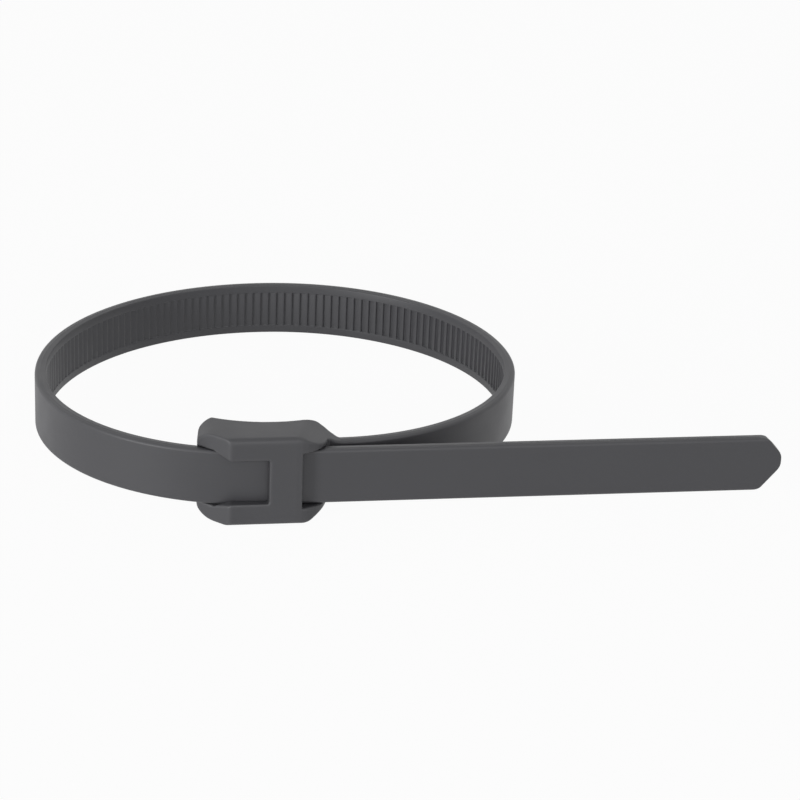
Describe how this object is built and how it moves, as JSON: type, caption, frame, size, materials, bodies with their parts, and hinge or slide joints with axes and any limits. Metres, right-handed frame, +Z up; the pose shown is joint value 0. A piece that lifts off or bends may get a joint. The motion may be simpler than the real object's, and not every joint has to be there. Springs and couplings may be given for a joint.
{
  "type": "cable tie",
  "caption": "Dark grey in-line cable tie, locked into a loop, with a toothed strap, a low flat head with an open window and a long free tail.",
  "frame": {"origin": "a point on the flat lower side of the head, halfway along the head, in the middle plane of the tail's thickness", "axes": "+X along the free tail towards its tip, +Y from the tail towards the middle of the loop, +Z up across the strap's width, square to the plane of the loop"},
  "size_m": [0.1169, 0.0774, 0.0146],
  "materials": {
    "nylon": "satin, dark grey moulded nylon with fine mould marks"
  },
  "bodies": {
    "root": {"cable_tie": "nylon"}
  },
  "joints": []
}
